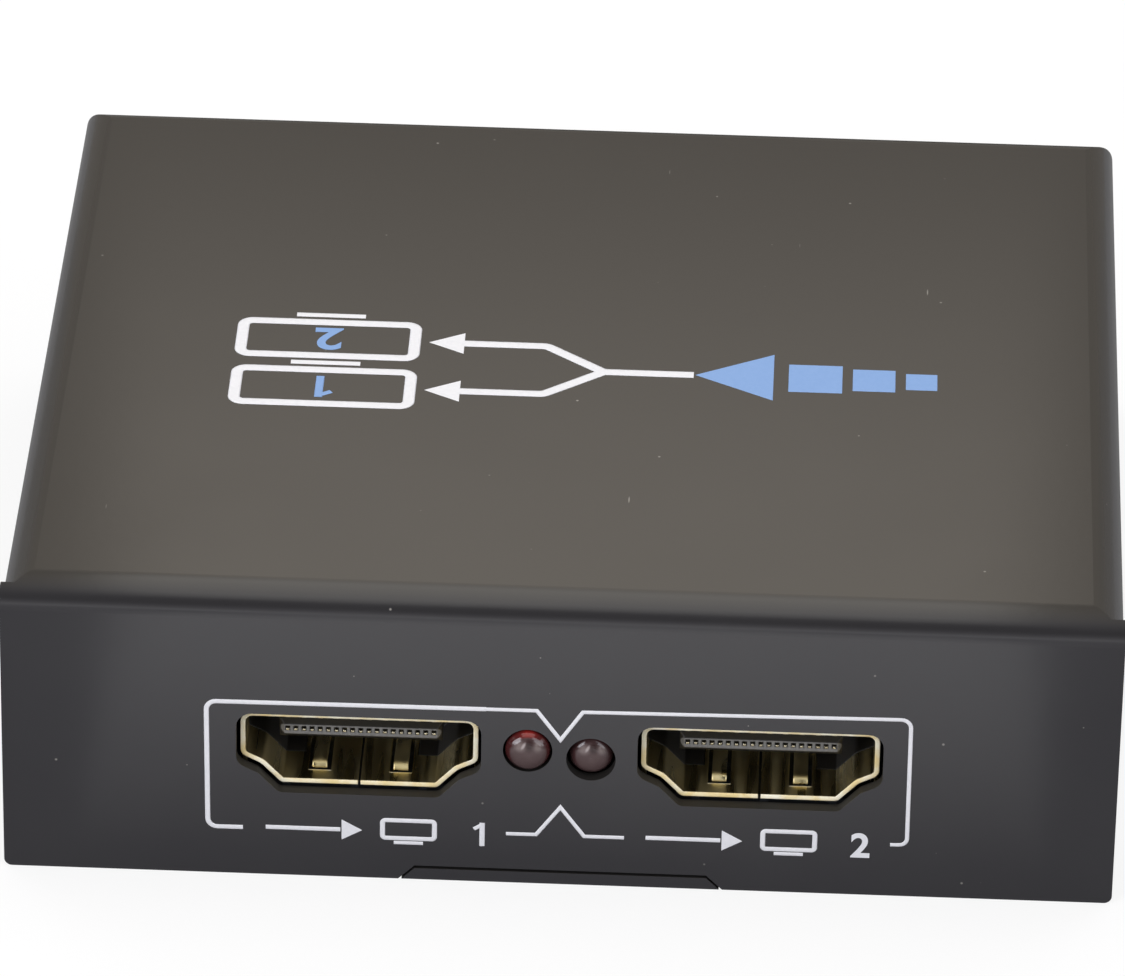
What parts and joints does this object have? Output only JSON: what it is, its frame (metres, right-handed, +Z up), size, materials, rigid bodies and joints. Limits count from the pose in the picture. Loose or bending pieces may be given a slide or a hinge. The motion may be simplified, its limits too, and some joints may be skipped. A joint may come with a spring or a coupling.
{
  "type": "video splitter",
  "caption": "Flat rectangular metal video splitter box with recessed output sockets and indicator lamps in front, and an input socket and a power jack behind.",
  "frame": {"origin": "middle of the underside, on the table", "axes": "+X to the right along the longest side, -Y out of the front with the output sockets, +Z up"},
  "size_m": [0.0684, 0.0615, 0.0204],
  "materials": {
    "case_paint": "satin black paint",
    "screw_black": "black oxide",
    "pillar_brass": "turned",
    "screw_steel": "zinc plated",
    "board_laminate": "black solder mask",
    "gold_plate": "gold plated sheet",
    "socket_plastic": "moulded",
    "contact_gold": "gold plated strip",
    "lamp_red": "clear dark red resin",
    "tinned_wire": "tinned",
    "jack_plastic": "moulded",
    "jack_metal": "nickel plated",
    "chip_resin": "moulded",
    "chip_lead": "tinned",
    "crystal_steel": "drawn can",
    "can_aluminium": "drawn can",
    "can_plastic": "moulded",
    "capacitor_body": "fired",
    "resistor_body": "fired"
  },
  "bodies": {
    "root": {"top_cover": "case_paint", "base_plate": "case_paint", "side_screws": "screw_black", "board_pillars": "pillar_brass", "board_screws": "screw_steel", "circuit_board": "board_laminate", "output_1_shell": "gold_plate", "output_1_insulator": "socket_plastic", "output_1_contacts": "contact_gold", "output_2_shell": "gold_plate", "output_2_insulator": "socket_plastic", "output_2_contacts": "contact_gold", "input_shell": "gold_plate", "input_insulator": "socket_plastic", "input_contacts": "contact_gold", "lamp_1_lens": "lamp_red", "lamp_1_leads": "tinned_wire", "lamp_2_lens": "lamp_red", "lamp_2_leads": "tinned_wire", "jack_body": "jack_plastic", "jack_pin": "jack_metal", "jack_spring": "jack_metal", "splitter_chip": "chip_resin", "splitter_chip_leads": "chip_lead", "memory_chip": "chip_resin", "memory_chip_leads": "chip_lead", "regulator": "chip_resin", "regulator_leads": "chip_lead", "crystal_can": "crystal_steel", "large_capacitors": "can_aluminium", "large_capacitor_feet": "can_plastic", "small_capacitors": "capacitor_body", "small_resistors": "resistor_body", "input_diode": "chip_resin"}
  },
  "joints": []
}
